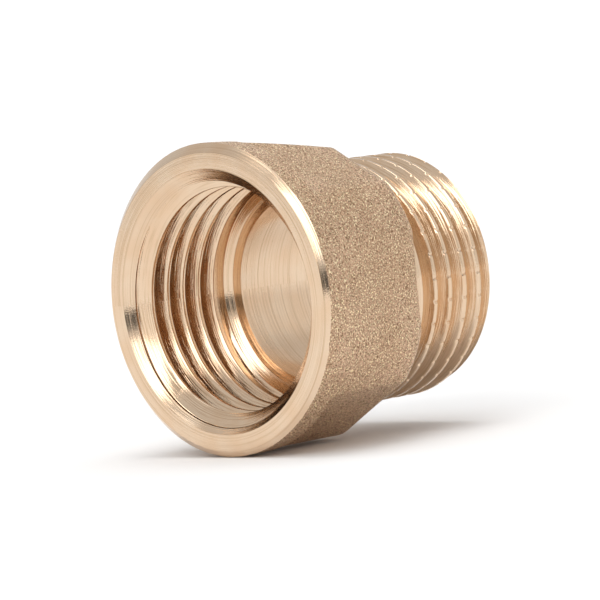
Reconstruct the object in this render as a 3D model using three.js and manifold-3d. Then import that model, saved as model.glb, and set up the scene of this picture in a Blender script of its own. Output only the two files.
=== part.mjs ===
// A brass thread extension for G 1/2 pipe: one piece of metal with a pipe-thread socket at one
// end, a pipe-thread spigot at the other, and a round collar and a hexagon for the wrench on its
// cast outside. Millimetres. The axis of both threads is +Y and the origin is the middle of the
// socket's mouth, so the socket opens towards -Y and the spigot points along +Y. Two corners of
// the hexagon point up and down (+Z and -Z), and two of its flats face +X and -X.

import * as THREE from 'three';
import { mergeVertices } from 'three/addons/utils/BufferGeometryUtils.js';
import Module from 'manifold-3d';

const wasm = await Module();
wasm.setup();

// G 1/2 pipe thread: 14 turns to the inch, 55 degree flanks, right-handed.
const PITCH = 25.4 / 14;
const THREAD_DEPTH = 0.640327 * PITCH;
const FLANK_SLOPE = Math.tan(THREE.MathUtils.degToRad(27.5));
const GROOVE_FLOOR = PITCH / 6;

// Lengths along the axis.
const LENGTH = 23.3;
const COLLAR_LENGTH = 2.7;
const HEXAGON_END = 12.4;
const SOCKET_DEPTH = 10.9;

// The cast outside. Its skin stands a little higher than the turned axis, and the collar also a
// little to one side, because a casting is gripped by its raw skin when it is turned. The gate is
// ground off the top corner, on a plane that falls towards the spigot from its height at the mouth.
const CAST_RISE = 0.14;
const COLLAR_SHIFT = -0.25;
const COLLAR_RADIUS = 12.95;
const ACROSS_FLATS = 24;
const CORNER_RADIUS = 12.75;
const REAR_ROUNDING = 1.5;
const GROUND_HEIGHT = 13.35;
const GROUND_SLOPE = 0.155;

// The turned socket end.
const FACE_RADIUS = 12.3;
const MOUTH_RADIUS = 10.95;
const SOCKET_RADIUS = 18.631 / 2;
const SOCKET_CORNER = 0.58;
const BORE_RADIUS = 7.8;

// The turned spigot.
const SPIGOT_RADIUS = 10.4;
const SPIGOT_CHAMFER = 1;
const BORE_CHAMFER = 0.4;

// Where each groove runs: the middle of its floor where it passes the +X side on turn 0, and the
// turns between which it is cut. The socket's groove comes in from outside the mouth and runs
// out short of the socket's floor. The spigot's runs out before the shoulder and leaves at its end.
const SOCKET_GROOVE = { middle: 0.11, firstTurn: -1, lastTurn: 5.475 };
const SOCKET_RUN_OUT = 0.2;
const SPIGOT_GROOVE = { middle: 14.62, firstTurn: -0.5, lastTurn: 5.7 };
const SPIGOT_RUN_OUT = 0.3;

// How finely the round shapes are cut, how far a cutting shape reaches past what it cuts, the
// least depth of a cutter's section where it ends, and how close two vertices merge.
const SEGMENTS = 36;
const OVERCUT = 0.25;
const CLEARANCE = 1;
const LEAST_DEPTH = 0.02;
const MERGE_DISTANCE = 1e-5;

// A closed three.js geometry as a solid with its faces pointing out.
function solid(geometry) {
  geometry.deleteAttribute('normal');
  geometry.deleteAttribute('uv');
  const merged = mergeVertices(geometry, MERGE_DISTANCE);
  const corners = merged.index.array;
  const faces = [];
  for (let i = 0; i < corners.length; i += 3) {
    const face = [corners[i], corners[i + 1], corners[i + 2]];
    if (new Set(face).size === 3) faces.push(face);
  }
  const build = (list) => new wasm.Manifold(new wasm.Mesh({
    numProp: 3,
    vertProperties: Float32Array.from(merged.attributes.position.array),
    triVerts: Uint32Array.from(list.flat()),
  }));
  const first = build(faces);
  return first.volume() > 0 ? first : build(faces.map(([a, b, c]) => [a, c, b]));
}

// A solid turned about the axis, from its outline of [radius, distance along the axis] pairs.
function turned(outline) {
  const points = outline.map(([radius, along]) => new THREE.Vector2(radius, along));
  return solid(new THREE.LatheGeometry([...points, points[0]], SEGMENTS));
}

// The helical cutter of a thread's groove. Its section is a V with a flat floor: it is widest
// on the open side, at baseRadius, and narrowest at floorRadius. Where the tool is drawn out,
// depthAt(turn) falls from 1 to nearly 0, and the floor comes back to the open side.
function grooveCutter({ middle, firstTurn, lastTurn }, baseRadius, floorRadius, depthAt) {
  const steps = Math.round((lastTurn - firstTurn) * SEGMENTS);
  const positions = [];
  for (let step = 0; step <= steps; step += 1) {
    const turn = firstTurn + step / SEGMENTS;
    const angle = turn * 2 * Math.PI;
    const depth = (floorRadius - baseRadius) * depthAt(turn);
    const halfFloor = GROOVE_FLOOR / 2;
    const halfBase = halfFloor + Math.abs(depth) * FLANK_SLOPE;
    const section = [
      [baseRadius, -halfBase],
      [baseRadius + depth, -halfFloor],
      [baseRadius + depth, halfFloor],
      [baseRadius, halfBase],
    ];
    for (const [radius, offset] of section) {
      const along = middle + turn * PITCH + offset;
      positions.push(radius * Math.cos(angle), along, -radius * Math.sin(angle));
    }
  }
  const sides = 4;
  const faces = [[0, 1, 2], [0, 2, 3]];
  for (let step = 0; step < steps; step += 1) {
    for (let side = 0; side < sides; side += 1) {
      const a = sides * step + side;
      const b = sides * step + (side + 1) % sides;
      faces.push([a, a + sides, b], [b, a + sides, b + sides]);
    }
  }
  const last = sides * steps;
  faces.push([last, last + 2, last + 1], [last, last + 3, last + 2]);
  const geometry = new THREE.BufferGeometry();
  geometry.setAttribute('position', new THREE.Float32BufferAttribute(positions, 3));
  geometry.setIndex(faces.flat());
  return solid(geometry);
}

// How deep a groove is cut, from 0 to 1, with so many turns left to its end.
function runOut(turnsLeft, length) {
  return THREE.MathUtils.clamp(turnsLeft / length, LEAST_DEPTH, 1);
}

// The round collar, which falls away behind at 45 degrees to the hexagon's flats.
function collar() {
  const flatRadius = ACROSS_FLATS / 2;
  return turned([
    [0, 0],
    [COLLAR_RADIUS, 0],
    [COLLAR_RADIUS, COLLAR_LENGTH],
    [flatRadius, COLLAR_LENGTH + COLLAR_RADIUS - flatRadius],
    [0, COLLAR_LENGTH + COLLAR_RADIUS - flatRadius],
  ]);
}

// The hexagon, with its corners rounded about the axis and its rear edge rounded off.
function hexagon() {
  const halfFlat = Math.acos(ACROSS_FLATS / 2 / CORNER_RADIUS);
  const outline = new THREE.Shape();
  for (let corner = 0; corner < 6; corner += 1) {
    const flat = corner * Math.PI / 3;
    const nextFlat = flat + Math.PI / 3;
    outline.absarc(0, 0, CORNER_RADIUS, flat + halfFlat, nextFlat - halfFlat);
  }
  const front = COLLAR_LENGTH / 2;
  const geometry = new THREE.ExtrudeGeometry(outline, {
    depth: HEXAGON_END - front - 2 * REAR_ROUNDING,
    curveSegments: 3,
    bevelSegments: 3,
    bevelThickness: REAR_ROUNDING,
    bevelSize: REAR_ROUNDING,
    bevelOffset: -REAR_ROUNDING,
  });
  geometry.translate(0, 0, front + REAR_ROUNDING);
  geometry.rotateX(-Math.PI / 2);
  return solid(geometry);
}

// What is ground off with the gate: everything above the sloping plane.
function groundOff() {
  const size = 4 * COLLAR_RADIUS;
  const geometry = new THREE.BoxGeometry(size, size, size);
  geometry.translate(0, 0, size / 2);
  geometry.rotateX(-Math.atan(GROUND_SLOPE));
  geometry.translate(0, 0, GROUND_HEIGHT);
  return solid(geometry);
}

// The casting: collar and hexagon, with the socket's end turned flat and chamfered.
function casting() {
  const cast = collar().translate([COLLAR_SHIFT, 0, CAST_RISE])
    .add(hexagon().translate([0, 0, CAST_RISE]))
    .subtract(groundOff());
  const reach = COLLAR_RADIUS + CLEARANCE;
  const turnedFront = turned([
    [0, 0],
    [FACE_RADIUS, 0],
    [reach, reach - FACE_RADIUS],
    [reach, LENGTH],
    [0, LENGTH],
  ]);
  return cast.intersect(turnedFront);
}

// The turned spigot, before its thread is cut. It starts inside the casting.
function spigot() {
  return turned([
    [0, SOCKET_DEPTH],
    [SPIGOT_RADIUS, SOCKET_DEPTH],
    [SPIGOT_RADIUS, LENGTH - SPIGOT_CHAMFER],
    [SPIGOT_RADIUS - SPIGOT_CHAMFER, LENGTH],
    [0, LENGTH],
  ]);
}

// The space inside: the mouth's chamfer, the socket, the chamfered corner at its floor, and
// the bore that goes on through the spigot.
function passage() {
  return turned([
    [0, -CLEARANCE],
    [MOUTH_RADIUS + CLEARANCE, -CLEARANCE],
    [SOCKET_RADIUS, MOUTH_RADIUS - SOCKET_RADIUS],
    [SOCKET_RADIUS, SOCKET_DEPTH - SOCKET_CORNER],
    [SOCKET_RADIUS - SOCKET_CORNER, SOCKET_DEPTH],
    [BORE_RADIUS, SOCKET_DEPTH],
    [BORE_RADIUS, LENGTH - BORE_CHAMFER],
    [BORE_RADIUS + BORE_CHAMFER + CLEARANCE, LENGTH + CLEARANCE],
    [0, LENGTH + CLEARANCE],
  ]);
}

function socketGroove() {
  const floor = SOCKET_RADIUS + THREAD_DEPTH;
  const depthAt = (turn) => runOut(SOCKET_GROOVE.lastTurn - turn, SOCKET_RUN_OUT);
  return grooveCutter(SOCKET_GROOVE, SOCKET_RADIUS - OVERCUT, floor, depthAt);
}

function spigotGroove() {
  const floor = SPIGOT_RADIUS - THREAD_DEPTH;
  const depthAt = (turn) => runOut(turn - SPIGOT_GROOVE.firstTurn, SPIGOT_RUN_OUT);
  return grooveCutter(SPIGOT_GROOVE, SPIGOT_RADIUS + OVERCUT, floor, depthAt);
}

// The solid as a named mesh in yellow brass.
function brassMesh(name, body) {
  const { vertProperties, triVerts } = body.getMesh();
  const geometry = new THREE.BufferGeometry();
  geometry.setAttribute('position', new THREE.BufferAttribute(vertProperties, 3));
  geometry.setIndex(new THREE.BufferAttribute(triVerts, 1));
  geometry.computeVertexNormals();
  const material = new THREE.MeshStandardMaterial({ color: 0xc99a62, roughness: 0.35, metalness: 1 });
  const mesh = new THREE.Mesh(geometry, material);
  mesh.name = name;
  return mesh;
}

const body = casting()
  .add(spigot())
  .subtract(spigotGroove())
  .subtract(passage())
  .subtract(socketGroove());

const part = new THREE.Group();
part.add(brassMesh('extension_body', body));

export default part;
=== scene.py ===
"""The looks of a brass pipe-thread extension: turned threads, face and bore, on a blasted casting.

The fitting is one piece of metal, so one closed mesh stands for the CAD node. It is built in
millimetres about the thread's axis, +Y, by the same cuts that make the real one: a casting, a
turned front, a threaded spigot, and a threaded socket and bore taken out of it.
"""

import math

import bpy
import numpy as np
from mathutils import Matrix, Vector


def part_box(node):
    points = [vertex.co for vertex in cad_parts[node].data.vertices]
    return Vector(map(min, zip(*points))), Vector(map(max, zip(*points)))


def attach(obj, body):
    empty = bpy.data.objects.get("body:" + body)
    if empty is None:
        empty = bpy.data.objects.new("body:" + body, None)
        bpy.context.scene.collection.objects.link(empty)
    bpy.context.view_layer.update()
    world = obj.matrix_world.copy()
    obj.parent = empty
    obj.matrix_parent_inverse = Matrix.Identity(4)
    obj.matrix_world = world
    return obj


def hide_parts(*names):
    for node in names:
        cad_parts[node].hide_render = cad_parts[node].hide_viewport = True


NODE = "extension_body"
MM = 0.001

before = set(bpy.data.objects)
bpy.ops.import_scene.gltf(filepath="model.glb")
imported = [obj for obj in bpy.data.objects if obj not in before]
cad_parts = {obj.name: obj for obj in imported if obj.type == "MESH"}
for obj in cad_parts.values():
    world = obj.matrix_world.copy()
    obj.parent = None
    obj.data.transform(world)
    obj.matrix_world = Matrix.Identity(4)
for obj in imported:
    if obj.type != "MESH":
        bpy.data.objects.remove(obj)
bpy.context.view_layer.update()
low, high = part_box(NODE)

# Sizes in millimetres. The outer ones come from the CAD node's box.
LENGTH = high.y / MM
COLLAR_RADIUS = (high.x - low.x) / 2 / MM
COLLAR_SHIFT = (high.x + low.x) / 2 / MM
CAST_RISE = (high.z + low.z) / 2 / MM

# G 1/2 pipe thread.
PITCH = 25.4 / 14
THREAD_DEPTH = 0.640327 * PITCH
FLANK_SLOPE = math.tan(math.radians(27.5))
GROOVE_FLOOR = PITCH / 6

COLLAR_LENGTH = 2.7
HEXAGON_END = 12.4
SOCKET_DEPTH = 10.9
ACROSS_FLATS = 24.0
CORNER_RADIUS = 12.75
REAR_ROUNDING = 1.5
GROUND_HEIGHT = 13.35
GROUND_SLOPE = 0.155
FACE_RADIUS = 12.3
MOUTH_RADIUS = 10.95
SOCKET_RADIUS = 18.631 / 2
SOCKET_CORNER = 0.58
BORE_RADIUS = 7.8
BORE_CHAMFER = 0.4
SPIGOT_RADIUS = 10.4
SPIGOT_CHAMFER = 1.0

# Each groove: where its middle passes +X on turn 0, its first turn, its last turn where it ends
# inside the metal, and the turns over which the tool is drawn out at its blind end.
SOCKET_GROOVE = {"middle": 0.11, "first": -2.0, "last": 5.475, "run_out": 0.2}
SPIGOT_GROOVE = {"middle": 14.62, "first": -0.5, "run_out": 0.3}

# How far a cutting shape reaches past what it cuts.
CLEARANCE = 1.0

# The notches rolled across the spigot's crests.
NOTCHES = 33
NOTCH_DEPTH = 0.11
NOTCH_HALF_ANGLE = math.radians(0.9)

# How the edges are rounded: those that the lathe leaves, those at the socket's floor, the bore's,
# those of the casting, and those round its ground top, which is a little crowned.
TURNED_EDGE = 0.06
SOCKET_EDGE = 0.05
BORE_EDGE = 0.1
CAST_EDGE = 0.12
GROUND_EDGE = 0.08
GROUND_CROWN = 0.02

# The waves in the cast skin: how many a turn, radians a millimetre along, phase, and height.
CAST_WAVES = (
    (2, 0.21, 0.3, 0.020),
    (3, -0.37, 1.9, 0.014),
    (5, 0.61, 4.1, 0.010),
    (9, -1.1, 2.2, 0.006),
)

# How finely the turned and the cast shapes are divided, and the sharpest edge that shades smooth.
TURNED_COLUMNS = 360
CAST_COLUMNS = 420
SMOOTH_EDGE = math.radians(32)

# The camera, in degrees and millimetres.
LENS = 234
SENSOR = 36
CAMERA_AZIMUTH = 44.4
CAMERA_ELEVATION = 3.45
CAMERA_ROLL = -5.6
CAMERA_DISTANCE = 327
CAMERA_AIM = (-0.6, 10.55, -0.95)

# The floor's half width, in metres, and its gap under the lowest point of the collar.
FLOOR_REACH = 3.0
FLOOR_GAP = 0.06

# The light tent: its tone at the horizon and from TENT_RISE degrees up, how bright it is where
# the camera sees it, and the panels in it. A panel lies where the fitting sees it at an azimuth
# and an elevation, in degrees, and its edges are soft. The panels are the ceiling, one behind,
# the softbox in front, the strip below the softbox, and the dark one round the camera.
HORIZON_TENT = 0.88
TENT = 0.68
TENT_RISE = 25
BACKGROUND = 1.3
PANELS = [
    {"azimuth": 0, "elevation": 90, "half_width": 200, "half_height": 21, "soft": 7, "light": 3.4},
    {"azimuth": 145, "elevation": 18, "half_width": 25, "half_height": 18, "soft": 2, "light": 0.9},
    {"azimuth": 19, "elevation": 36, "half_width": 22, "half_height": 19, "soft": 2, "light": 3.0},
    {"azimuth": 5, "elevation": 9, "half_width": 28, "half_height": 8, "soft": 2, "light": 1.1},
    {"azimuth": 44, "elevation": 4, "half_width": 9, "half_height": 8, "soft": 2.5, "light": 0.1},
]


# ---------------------------------------------------------------- mesh building


def new_object(name, points, faces):
    """A mesh object from points and faces, in the scene."""
    mesh = bpy.data.meshes.new(name)
    mesh.from_pydata([tuple(p) for p in points], [], faces)
    mesh.update()
    piece = bpy.data.objects.new(name, mesh)
    bpy.context.scene.collection.objects.link(piece)
    return piece


def on_axis(radius, along, angle):
    """Points at these radii, distances along +Y and angles from +X towards -Z."""
    return np.stack([radius * np.cos(angle), along, -radius * np.sin(angle)], axis=-1)


def barrel(name, grid, first_centre, last_centre, limits=None, shift=0):
    """A closed solid from a grid of rings, rings[row, column], with a cap at both ends.

    shift is how many rows further on the last column meets the first, as on a helix. Points that
    lie on a limit along the axis are one ring there.
    """
    rows, columns = grid.shape[:2]
    index = np.arange(rows * columns).reshape(rows, columns)
    if limits is not None:
        index = np.where(grid[..., 1] <= limits[0], index[0], index)
        index = np.where(grid[..., 1] >= limits[1], index[-1], index)
    index = index.tolist()
    start, end = rows * columns, rows * columns + 1
    faces = []
    for column in range(columns):
        beside = (column + 1) % columns
        step = shift if beside == 0 else 0
        for row in range(rows - 1):
            near, far = min(row + step, rows - 1), min(row + step + 1, rows - 1)
            corners = (
                index[row][column],
                index[near][beside],
                index[far][beside],
                index[row + 1][column],
            )
            face = list(dict.fromkeys(corners))
            if len(face) > 2:
                faces.append(face)
        faces.append((start, index[0][beside], index[0][column]))
        faces.append((end, index[-1][column], index[-1][beside]))
    points = np.concatenate([grid.reshape(-1, 3), [first_centre, last_centre]])
    used = sorted({corner for face in faces for corner in face})
    place = {corner: i for i, corner in enumerate(used)}
    faces = [[place[corner] for corner in face] for face in faces]
    return new_object(name, points[used], faces)


def round_angles(columns):
    """Evenly spaced angles, once round."""
    return np.arange(columns) * 2 * math.pi / columns


def turned(name, outline):
    """A solid turned about the axis from (radius, along) pairs; it is capped at both ends."""
    profile = np.array(outline, float)
    radius, angles = np.meshgrid(profile[:, 0], round_angles(TURNED_COLUMNS), indexing="ij")
    along = np.broadcast_to(profile[:, 1:2], radius.shape)
    grid = on_axis(radius, along, angles)
    return barrel(name, grid, (0, profile[0, 1], 0), (0, profile[-1, 1], 0))


def filleted(outline, radii, steps=4):
    """The outline with each inner corner rounded to its radius, as an arc of short steps."""
    points = [np.array(p, float) for p in outline]
    result = [points[0]]
    for before, corner, after, radius in zip(points, points[1:], points[2:], radii):
        if radius == 0:
            result.append(corner)
            continue
        into = (before - corner) / np.linalg.norm(before - corner)
        out = (after - corner) / np.linalg.norm(after - corner)
        half = math.acos(np.clip(into @ out, -1, 1)) / 2
        reach = radius / math.tan(half)
        middle = (into + out) / np.linalg.norm(into + out)
        centre = corner + middle * radius / math.sin(half)
        begin = corner + into * reach - centre
        finish = corner + out * reach - centre
        turn = math.atan2(begin[0] * finish[1] - begin[1] * finish[0], begin @ finish)
        for step in range(steps + 1):
            angle = turn * step / steps
            c, s = math.cos(angle), math.sin(angle)
            arm = np.array([c * begin[0] - s * begin[1], s * begin[0] + c * begin[1]])
            result.append(centre + arm)
    result.append(points[-1])
    return np.array(result)


def cut(piece, tool, operation):
    """piece with the tool joined to it, cut out of it, or kept as its limit."""
    modifier = piece.modifiers.new("cut", "BOOLEAN")
    modifier.operation = operation
    modifier.solver = "MANIFOLD"
    modifier.object = tool
    shown = bpy.context.evaluated_depsgraph_get()
    mesh = bpy.data.meshes.new_from_object(piece.evaluated_get(shown))
    piece.modifiers.clear()
    piece.data = mesh
    bpy.data.objects.remove(tool)
    return piece


# ---------------------------------------------------------------- threads


def groove_outline():
    """Half of a groove's section, as (offset from its middle, depth), and where its edge is.

    It runs from the floor to the crest. Two rows below the edge keep the notches' marks short.
    """
    half_floor = GROOVE_FLOOR / 2
    edge = half_floor + THREAD_DEPTH * FLANK_SLOPE
    shoulder = 0.16
    below_shoulder = 1.4 * shoulder
    root_radius, crest_radius = 0.14, 0.05
    outline = [
        (0, THREAD_DEPTH),
        (half_floor, THREAD_DEPTH),
        (edge - below_shoulder * FLANK_SLOPE, below_shoulder),
        (edge - shoulder * FLANK_SLOPE, shoulder),
        (edge, 0),
        (PITCH / 2, 0),
    ]
    return filleted(outline, [root_radius, 0, 0, crest_radius], steps=2), edge


def threaded(name, crest_radius, side, groove, limits, angles, shape=None):
    """A threaded rod with rings that follow the helix, so that its crests stay crisp.

    side is -1 where the groove is cut into the rod, and +1 where the rod is a socket's inside.
    shape, if given, changes the radius at each place.
    """
    outline, edge = groove_outline()
    offsets = np.concatenate([-outline[::-1, 0], outline[1:-1, 0]])
    cells = math.ceil((limits[1] - limits[0]) / PITCH) + 3
    first_cell = math.floor((limits[0] - groove["middle"]) / PITCH) - 1
    rings = []
    for cell in range(first_cell, first_cell + cells):
        turn = cell + angles / (2 * math.pi)
        from_start = turn - groove["first"]
        left = from_start if side < 0 else np.minimum(from_start, groove["last"] - turn)
        share = np.clip(left / groove["run_out"], 0, 1)
        drawn = (1 - share) * THREAD_DEPTH
        open_half = edge - drawn * FLANK_SLOPE
        for offset in offsets:
            inside = abs(offset) <= edge
            crest_share = (abs(offset) - edge) / (PITCH / 2 - edge)
            scaled = abs(offset) * open_half / edge
            outer = open_half + crest_share * (PITCH / 2 - open_half)
            reach = scaled if inside else outer
            along = groove["middle"] + turn * PITCH + math.copysign(1, offset) * reach
            rings.append(np.clip(along, *limits))
    along = np.array(rings)
    angle = np.broadcast_to(angles, along.shape)
    radius = thread_radius(along, angle, crest_radius, side, groove, outline, edge)
    if shape is not None:
        radius = shape(radius, along, angle)
    grid = on_axis(radius, along, angle)
    ends = (0, limits[0], 0), (0, limits[1], 0)
    return barrel(name, grid, *ends, limits=limits, shift=len(offsets))


def thread_radius(along, angle, crest_radius, side, groove, outline, edge):
    """The thread's radius at these places."""
    turn = angle / (2 * math.pi)
    cell = np.round((along - groove["middle"]) / PITCH - turn)
    offset = np.abs(along - groove["middle"] - (cell + turn) * PITCH)
    total = cell + turn
    left = total - groove["first"] if side < 0 else groove["last"] - total
    share = np.clip(left / groove["run_out"], 0, 1)
    depth = np.interp(offset, outline[:, 0], outline[:, 1]) - (1 - share) * THREAD_DEPTH
    return crest_radius + side * np.maximum(depth, 0)


def notch_angles():
    """Angles round the spigot with a cluster at every notch, so that its V is whole."""
    period = 2 * math.pi / NOTCHES
    near = [share * NOTCH_HALF_ANGLE for share in (-1.45, -1, 0, 1, 1.45)]
    far = [share * period for share in (0.2, 0.35, 0.5, 0.65, 0.8)]
    return np.array([i * period + angle for i in range(NOTCHES) for angle in near + far])


def notched(radius, along, angle):
    """The spigot's radius with a V rolled across the crests at every notch, past the shank."""
    period = 2 * math.pi / NOTCHES
    away = np.abs((angle + period / 2) % period - period / 2) / NOTCH_HALF_ANGLE
    floor = SPIGOT_RADIUS - NOTCH_DEPTH * (1 - away)
    shank_end = SPIGOT_GROOVE["middle"] - 0.2
    return np.where((along > shank_end) & (away < 1), np.minimum(radius, floor), radius)


# ---------------------------------------------------------------- the fitting


def smooth_larger(a, b, blend):
    """The larger of two values, with the change from one to the other rounded over blend."""
    share = np.clip(0.5 + 0.5 * (a - b) / blend, 0, 1)
    return b + (a - b) * share + blend * share * (1 - share)


def unevenness(along, angle):
    """How far the casting's skin stands off its true shape: long, low waves from the mould."""
    return sum(
        height * np.sin(waves * angle + twist * along + phase)
        for waves, twist, phase, height in CAST_WAVES
    )


def cast_stations():
    """Where the casting's rings are: each one's distance along and how far its edge is inset."""
    fall_start = COLLAR_LENGTH - 0.3
    straight_end = HEXAGON_END - REAR_ROUNDING
    along = np.concatenate([
        np.arange(-1.0, fall_start, 0.5),
        np.arange(fall_start, COLLAR_LENGTH + 1.7, 0.1),
        np.linspace(COLLAR_LENGTH + 1.9, straight_end, 12),
    ])
    stations = [(place, 0.0) for place in along]
    steps = 8
    for step in range(1, steps + 1):
        turn = step / steps * math.pi / 2
        inset = REAR_ROUNDING * (1 - math.cos(turn))
        stations.append((straight_end + REAR_ROUNDING * math.sin(turn), inset))
    return stations


def cast_skin():
    """The casting's outside: a round collar, a hexagon with a ground top, a rounded rear edge."""
    angle = round_angles(CAST_COLUMNS)
    away = np.abs((angle + math.pi / 6) % (math.pi / 3) - math.pi / 6)
    flat = ACROSS_FLATS / 2 / np.cos(away)
    hexagon = -smooth_larger(-flat, np.full(CAST_COLUMNS, -CORNER_RADIUS), CAST_EDGE)
    stations = cast_stations()
    rings = []
    for along, inset in stations:
        fall = max(0.0, along - COLLAR_LENGTH)
        collar = COLLAR_RADIUS - fall + COLLAR_SHIFT * np.cos(angle)
        radius = smooth_larger(collar, hexagon, CAST_EDGE)
        radius = radius - inset + unevenness(along, angle)
        ring = on_axis(radius, np.full(CAST_COLUMNS, along), angle)
        ring[:, 2] += CAST_RISE
        ground = GROUND_HEIGHT - GROUND_SLOPE * along - GROUND_CROWN * np.cos(3 * ring[:, 0])
        ring[:, 2] = -smooth_larger(-ring[:, 2], -ground, GROUND_EDGE)
        rings.append(ring)
    ends = (0, stations[0][0], CAST_RISE), (0, HEXAGON_END, CAST_RISE)
    return barrel("casting", np.array(rings), *ends)


def turned_front():
    """What the lathe leaves of the casting's front: the face and its outer chamfer."""
    reach = COLLAR_RADIUS + CLEARANCE
    outline = [
        (0, 0),
        (FACE_RADIUS, 0),
        (reach, reach - FACE_RADIUS),
        (reach, LENGTH),
        (0, LENGTH),
    ]
    return turned("front", filleted(outline, [TURNED_EDGE, 0, 0])[1:-1])


def spigot():
    """The threaded spigot, with its crests notched and its end chamfered."""
    limits = (SOCKET_DEPTH, LENGTH + CLEARANCE)
    rod = threaded("spigot", SPIGOT_RADIUS, -1, SPIGOT_GROOVE, limits, notch_angles(), notched)
    outline = [
        (0, SOCKET_DEPTH - CLEARANCE),
        (SPIGOT_RADIUS + CLEARANCE, SOCKET_DEPTH - CLEARANCE),
        (SPIGOT_RADIUS + CLEARANCE, LENGTH - SPIGOT_CHAMFER - CLEARANCE),
        (SPIGOT_RADIUS - SPIGOT_CHAMFER, LENGTH),
        (0, LENGTH),
    ]
    return cut(rod, turned("end", filleted(outline, [0, 0, TURNED_EDGE])[1:-1]), "INTERSECT")


def socket():
    """The space that the socket's tools take out: thread, mouth chamfer and floor."""
    before = 1.5
    overlap = 0.3
    straight_end = SOCKET_DEPTH - SOCKET_CORNER
    floor_radius = SOCKET_RADIUS - SOCKET_CORNER
    angles = round_angles(TURNED_COLUMNS)
    space = threaded("socket", SOCKET_RADIUS, 1, SOCKET_GROOVE, (-before, straight_end), angles)
    corner = [
        (SOCKET_RADIUS, straight_end - 2 * overlap),
        (SOCKET_RADIUS, straight_end),
        (floor_radius, SOCKET_DEPTH),
        (floor_radius - CLEARANCE, SOCKET_DEPTH),
    ]
    cone = [
        (MOUTH_RADIUS + before, -before),
        (SOCKET_RADIUS - overlap, MOUTH_RADIUS - SOCKET_RADIUS + overlap),
    ]
    space = cut(space, turned("floor", filleted(corner, [SOCKET_EDGE, SOCKET_EDGE])), "UNION")
    return cut(space, turned("mouth", cone), "UNION")


def bore():
    """The bore, which opens in a chamfer at the spigot's end."""
    outline = [
        (BORE_RADIUS, SOCKET_DEPTH - 2 * CLEARANCE),
        (BORE_RADIUS, LENGTH - BORE_CHAMFER),
        (BORE_RADIUS + BORE_CHAMFER + CLEARANCE, LENGTH + CLEARANCE),
    ]
    return turned("bore", filleted(outline, [BORE_EDGE]))


def fitting():
    """The whole fitting, in metres."""
    body = cut(cast_skin(), turned_front(), "INTERSECT")
    body = cut(body, spigot(), "UNION")
    body = cut(body, socket(), "DIFFERENCE")
    body = cut(body, bore(), "DIFFERENCE")
    body.name = "brass_fitting"
    body.data.transform(Matrix.Scale(MM, 4))
    return body


# ---------------------------------------------------------------- materials


class Shader:
    """A short way to write a node tree. Most calls add a node and give back its first output."""

    def __init__(self, tree):
        self.tree = tree
        tree.nodes.clear()

    def node(self, kind, inputs=None, output=0, **settings):
        node = self.tree.nodes.new(kind)
        for name, value in settings.items():
            setattr(node, name, value)
        for name, value in (inputs or {}).items():
            socket = node.inputs[name]
            if isinstance(value, bpy.types.NodeSocket):
                self.tree.links.new(value, socket)
            else:
                socket.default_value = value
        return node.outputs[output] if node.outputs else node

    def math(self, operation, *values):
        return self.node("ShaderNodeMath", dict(enumerate(values)), operation=operation)

    def split(self, vector):
        """The three parts of a vector."""
        node = self.tree.nodes.new("ShaderNodeSeparateXYZ")
        self.tree.links.new(vector, node.inputs[0])
        return node.outputs

    def noise(self, vector, scale, detail=2.0, roughness=0.5):
        inputs = {"Vector": vector, "Scale": scale, "Detail": detail, "Roughness": roughness}
        return self.node("ShaderNodeTexNoise", inputs)

    def remap(self, value, low_in, high_in, low_out=0.0, high_out=1.0):
        """The value carried from one range to another, and held at that range's ends."""
        inputs = {"Value": value, 1: low_in, 2: high_in, 3: low_out, 4: high_out}
        return self.node("ShaderNodeMapRange", inputs, clamp=True)

    def mix(self, share, a, b):
        """One colour or another, or a share of both."""
        inputs = {0: share, 6: a, 7: b}
        return self.node("ShaderNodeMix", inputs, output=2, data_type="RGBA")

    def bump(self, height, distance):
        return self.node("ShaderNodeBump", {"Height": height, "Strength": 1.0, "Distance": distance})

    def place(self):
        """The place on the object, in millimetres."""
        inputs = {0: self.node("ShaderNodeTexCoord", output="Object"), "Scale": 1 / MM}
        return self.node("ShaderNodeVectorMath", inputs, operation="SCALE")

    def metal(self, colour, roughness, normal):
        """The surface of bare metal."""
        principled = self.tree.nodes.new("ShaderNodeBsdfPrincipled")
        principled.inputs["Metallic"].default_value = 1.0
        self.tree.links.new(colour, principled.inputs["Base Color"])
        self.tree.links.new(roughness, principled.inputs["Roughness"])
        self.tree.links.new(normal, principled.inputs["Normal"])
        self.node("ShaderNodeOutputMaterial", {"Surface": principled.outputs[0]})


def new_material(name):
    """A material and the shader that it is written with."""
    material = bpy.data.materials.new(name)
    material.use_nodes = True
    return material, Shader(material.node_tree)


def lathe_place(shader, place, stretch):
    """A place as (radius, distance along the axis, angle), so that noise runs round the axis."""
    x, along, z = shader.split(place)
    squares = shader.math("ADD", shader.math("MULTIPLY", x, x), shader.math("MULTIPLY", z, z))
    angle = shader.math("ARCTAN2", z, x)
    inputs = {
        "X": shader.math("SQRT", squares),
        "Y": along,
        "Z": shader.math("MULTIPLY", angle, stretch),
    }
    return shader.node("ShaderNodeCombineXYZ", inputs)


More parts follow.
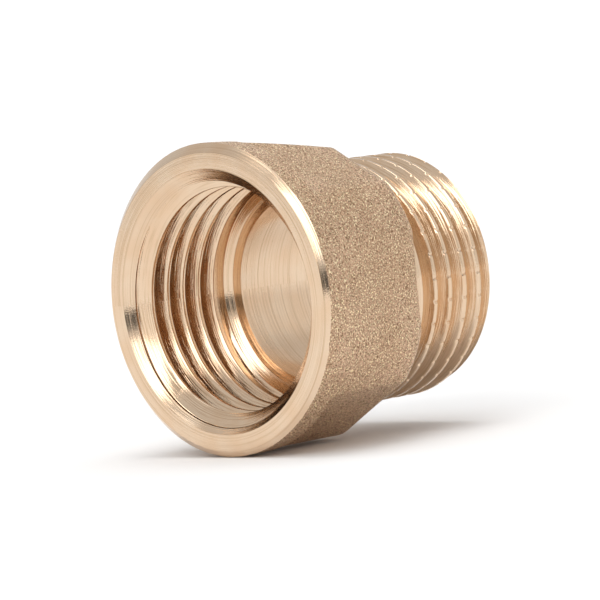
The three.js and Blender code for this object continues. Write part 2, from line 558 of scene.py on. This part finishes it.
def turned_brass(name, roughness):
    """Brass as the lathe leaves it: bright, with fine rings and a few broader, darker ones."""
    material, shader = new_material(name)
    place = shader.place()
    rings = lathe_place(shader, place, 0.07)
    fine = shader.noise(rings, 8.0, roughness=0.6)
    broad = shader.noise(rings, 3.4)
    cloud = shader.noise(place, 0.35, detail=3.0)
    grit = shader.noise(place, 9.0)
    height = shader.math("ADD", fine, shader.math("MULTIPLY", broad, 0.8))
    height = shader.math("ADD", height, shader.math("MULTIPLY", grit, 0.25))
    patchy = shader.remap(cloud, 0.3, 0.7, roughness, roughness + 0.05)
    rough = shader.math("ADD", shader.remap(fine, 0.3, 0.7, 0.0, 0.06), patchy)
    yellow, pink, dark = (0.75, 0.54, 0.365, 1), (0.78, 0.60, 0.435, 1), (0.56, 0.38, 0.23, 1)
    colour = shader.mix(shader.remap(cloud, 0.35, 0.65), yellow, pink)
    colour = shader.mix(shader.remap(fine, 0.5, 0.66, 0, 0.6), colour, dark)
    shader.metal(colour, rough, shader.bump(height, 0.016 * MM))
    return material


def cast_brass():
    """The casting's blasted skin: matt and full of fine dents, with dark specks, painted shade in
    the dents and painted glints.
    """
    material, shader = new_material("cast_brass")
    place = shader.place()
    grain = shader.noise(place, 6.4, roughness=0.7)
    specks = shader.noise(place, 8.0, roughness=0.8)
    painted_glint_spots = shader.noise(place, 8.0, detail=0.0)
    cloud = shader.noise(place, 0.22, detail=3.0)
    tan, light_tan = (0.66, 0.43, 0.275, 1), (0.74, 0.49, 0.33, 1)
    painted_dent_shade, speck, painted_glint = (0.24, 0.135, 0.065, 1), (0.12, 0.065, 0.03, 1), (1.0, 0.84, 0.55, 1)
    colour = shader.mix(shader.remap(cloud, 0.35, 0.65), tan, light_tan)
    # Painted shade: the colour turns dark brown where the grain, which is the bump's height, is low,
    # in the dents.
    colour = shader.mix(shader.remap(grain, 0.38, 0.52), painted_dent_shade, colour)
    colour = shader.mix(shader.remap(specks, 0.56, 0.62, 0, 0.9), colour, speck)
    # Painted highlight: bright golden glints put into the colour on the peaks of a noise.
    colour = shader.mix(shader.remap(painted_glint_spots, 0.63, 0.67), colour, painted_glint)
    rough = shader.remap(grain, 0.35, 0.65, 0.5, 0.24)
    shader.metal(colour, rough, shader.bump(grain, 0.14 * MM))
    return material


# The places of the finishes in the fitting's list of materials.
TURNED, CAST, DRILLED = range(3)


def face_finish(face):
    """Which finish a face has, from where it lies and the way it points."""
    x, along, z = face.center / MM
    radius = math.hypot(x, z)
    outward = face.normal.x * x + face.normal.z * z > -1e-6 * radius
    if radius < BORE_RADIUS + 0.05 and not outward:
        return DRILLED
    on_rear_face = abs(along - HEXAGON_END) < 0.01 and face.normal.y > 0.99
    beyond_spigot = radius > SPIGOT_RADIUS + 0.02
    behind_face = along > 0.05 and face.normal.y > -0.7
    behind_chamfer = radius - along < FACE_RADIUS - 0.02
    on_casting = beyond_spigot and behind_face and behind_chamfer and along < HEXAGON_END
    return CAST if on_rear_face or (on_casting and outward) else TURNED


def finish_faces(piece):
    """The finishes: the metal that the lathe has cut, the casting's skin, and the drilled bore."""
    piece.data.materials.clear()
    piece.data.materials.append(turned_brass("turned_brass", 0.07))
    piece.data.materials.append(cast_brass())
    piece.data.materials.append(turned_brass("drilled_brass", 0.18))
    for face in piece.data.polygons:
        face.material_index = face_finish(face)
    piece.data.shade_smooth()
    piece.data.set_sharp_from_angle(angle=SMOOTH_EDGE)


# ---------------------------------------------------------------- studio


def direction(azimuth, elevation):
    """The way to a place seen from the fitting: azimuth 0 is -Y and 90 is +X."""
    azimuth, elevation = math.radians(azimuth), math.radians(elevation)
    return Vector((
        math.sin(azimuth) * math.cos(elevation),
        -math.cos(azimuth) * math.cos(elevation),
        math.sin(elevation),
    ))


def add_camera():
    """The camera, which looks into the socket from its right, a little from above."""
    data = bpy.data.cameras.new("camera")
    data.lens = LENS
    data.sensor_width = SENSOR
    data.clip_start = 0.01
    back = direction(CAMERA_AZIMUTH, CAMERA_ELEVATION)
    place = Vector(CAMERA_AIM) * MM + back * CAMERA_DISTANCE * MM
    turn = back.to_track_quat("Z", "Y").to_matrix().to_4x4()
    roll = Matrix.Rotation(math.radians(CAMERA_ROLL), 4, "Z")
    camera = bpy.data.objects.new("camera", data)
    camera.matrix_world = Matrix.Translation(place) @ turn @ roll
    bpy.context.scene.collection.objects.link(camera)
    bpy.context.scene.camera = camera


def add_floor():
    """A plain white table top, just under the collar."""
    top = low.z - FLOOR_GAP * MM
    signs = ((-1, -1), (1, -1), (1, 1), (-1, 1))
    corners = [(x * FLOOR_REACH, y * FLOOR_REACH, top) for x, y in signs]
    floor = new_object("floor", corners, [(0, 1, 2, 3)])
    material = bpy.data.materials.new("white_table")
    material.use_nodes = True
    principled = material.node_tree.nodes["Principled BSDF"]
    principled.inputs["Base Color"].default_value = (0.9, 0.9, 0.9, 1)
    principled.inputs["Roughness"].default_value = 0.9
    principled.inputs["Specular IOR Level"].default_value = 0.1
    floor.data.materials.append(material)


def panel_share(shader, panel, azimuth, elevation):
    """How much of the light at this azimuth and elevation comes from the panel, from 0 to 1."""
    off = shader.math("SUBTRACT", azimuth, panel["azimuth"])
    off = shader.math("ABSOLUTE", shader.math("WRAP", off, 180.0, -180.0))
    rise = shader.math("ABSOLUTE", shader.math("SUBTRACT", elevation, panel["elevation"]))
    soft = panel["soft"]
    wide = shader.remap(off, panel["half_width"] - soft, panel["half_width"] + soft, 1, 0)
    tall = shader.remap(rise, panel["half_height"] - soft, panel["half_height"] + soft, 1, 0)
    return shader.math("MULTIPLY", wide, tall)


def add_world():
    """The light tent with its panels, and plain white behind the fitting for the camera."""
    world = bpy.data.worlds.new("tent")
    world.use_nodes = True
    bpy.context.scene.world = world
    shader = Shader(world.node_tree)
    way = shader.node("ShaderNodeTexCoord", output="Generated")
    x, y, z = shader.split(shader.node("ShaderNodeVectorMath", {0: way}, operation="NORMALIZE"))
    elevation = shader.math("DEGREES", shader.math("ARCSINE", z))
    azimuth = shader.math("DEGREES", shader.math("ARCTAN2", x, shader.math("MULTIPLY", y, -1.0)))
    tone = shader.remap(elevation, 0, TENT_RISE, HORIZON_TENT, TENT)
    for panel in PANELS:
        share = panel_share(shader, panel, azimuth, elevation)
        step = shader.math("MULTIPLY", share, shader.math("SUBTRACT", panel["light"], tone))
        tone = shader.math("ADD", tone, step)
    seen = shader.node("ShaderNodeLightPath", output="Is Camera Ray")
    tone = shader.math("MAXIMUM", tone, shader.math("MULTIPLY", seen, BACKGROUND))
    inputs = {"Color": (1, 1, 1, 1), "Strength": tone}
    shader.node("ShaderNodeOutputWorld", {"Surface": shader.node("ShaderNodeBackground", inputs)})
    bpy.context.scene.view_settings.view_transform = "Standard"


add_camera()
add_floor()
add_world()
body = fitting()
finish_faces(body)
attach(body, "root")
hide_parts(NODE)
